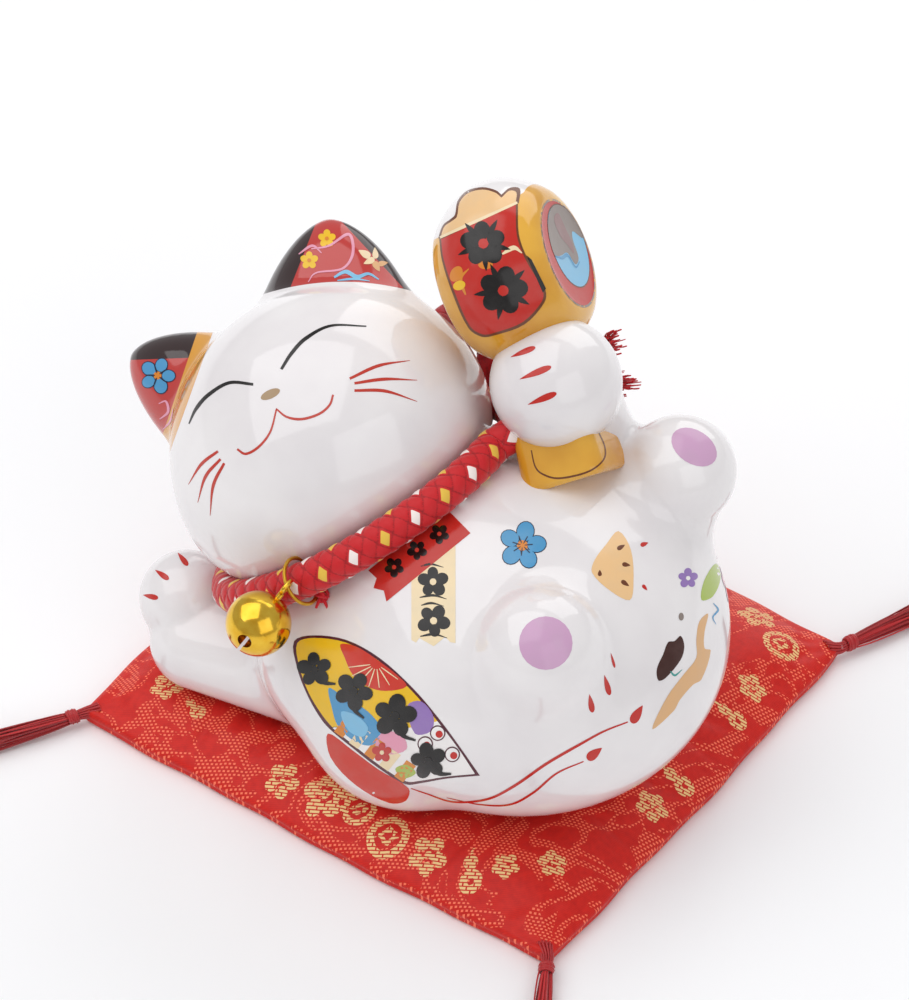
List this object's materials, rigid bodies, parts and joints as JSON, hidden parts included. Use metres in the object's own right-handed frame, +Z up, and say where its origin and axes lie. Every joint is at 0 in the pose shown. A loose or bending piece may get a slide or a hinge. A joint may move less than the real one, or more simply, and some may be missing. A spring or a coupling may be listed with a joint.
{
  "type": "ceramic cat figurine",
  "caption": "Glazed ceramic cat lying on its back on a square tasselled cushion, holding up a mallet, with a cord collar and a jingle bell.",
  "frame": {"origin": "centre of the cushion's underside, on the surface it rests on", "axes": "-Y is the figurine's front, +X is toward its feet, +Z is up"},
  "size_m": [0.1446, 0.1509, 0.1057],
  "materials": {
    "cotton_filling": "matte",
    "red_brocade": "satin",
    "red_backing": "satin",
    "glazed_white": "gloss",
    "glazed_gold": "gloss",
    "red_cord": "matte",
    "gold_thread": "metallic",
    "bell_brass": "polished",
    "steel_pellet": "satin",
    "red_silk": "satin"
  },
  "bodies": {
    "cushion": {"cushion_filling": "cotton_filling", "cushion_top_cover": "red_brocade", "cushion_bottom_cover": "red_backing"},
    "tassel_front_right": {"tassel_front_right_knot": "red_silk", "tassel_front_right_skirt": "red_silk"},
    "tassel_front_left": {"tassel_front_left_knot": "red_silk", "tassel_front_left_skirt": "red_silk"},
    "tassel_back_right": {"tassel_back_right_knot": "red_silk", "tassel_back_right_skirt": "red_silk"},
    "tassel_back_left": {"tassel_back_left_knot": "red_silk", "tassel_back_left_skirt": "red_silk"},
    "bell": {"bell_upper_shell": "bell_brass", "bell_lower_shell": "bell_brass", "bell_loop": "bell_brass"},
    "pellet": {"bell_pellet": "steel_pellet"},
    "cat": {"body_casting": "glazed_white", "head_casting": "glazed_white", "resting_foreleg": "glazed_white", "raised_foreleg": "glazed_white", "right_hind_leg": "glazed_white", "left_hind_leg": "glazed_white", "mallet_barrel": "glazed_gold", "mallet_handle": "glazed_gold", "collar_cord": "red_cord", "collar_knot": "red_cord", "collar_tail_upper": "red_cord", "collar_tail_lower": "red_cord", "bell_tie_thread": "gold_thread"}
  },
  "joints": [
    {"name": "cat_lift", "type": "slide", "parent": "cushion", "child": "cat", "axis": [0, 0, 1], "range_m": [0, 0.06]},
    {"name": "tassel_front_right_swing", "type": "hinge", "parent": "cushion", "child": "tassel_front_right", "pos_m": [0.05361, -0.04999, 0.00225], "axis": [0, 0, 1], "range_deg": [-35, 35]},
    {"name": "tassel_front_left_swing", "type": "hinge", "parent": "cushion", "child": "tassel_front_left", "pos_m": [-0.05365, -0.04996, 0.00225], "axis": [0, 0, 1], "range_deg": [-35, 35]},
    {"name": "tassel_back_right_swing", "type": "hinge", "parent": "cushion", "child": "tassel_back_right", "pos_m": [0.05325, 0.05016, 0.00225], "axis": [0, 0, 1], "range_deg": [-35, 35]},
    {"name": "tassel_back_left_swing", "type": "hinge", "parent": "cushion", "child": "tassel_back_left", "pos_m": [-0.05404, 0.04967, 0.00225], "axis": [0, 0, 1], "range_deg": [-35, 35]},
    {"name": "bell_swing", "type": "hinge", "parent": "cat", "child": "bell", "pos_m": [-0.00891, -0.04171, 0.05541], "axis": [-0.688, 0.295, 0.663], "range_deg": [0, 40]},
    {"name": "pellet_rattle", "type": "slide", "parent": "bell", "child": "pellet", "axis": [0, 0, 1], "range_m": [0, 0.0068]}
  ]
}
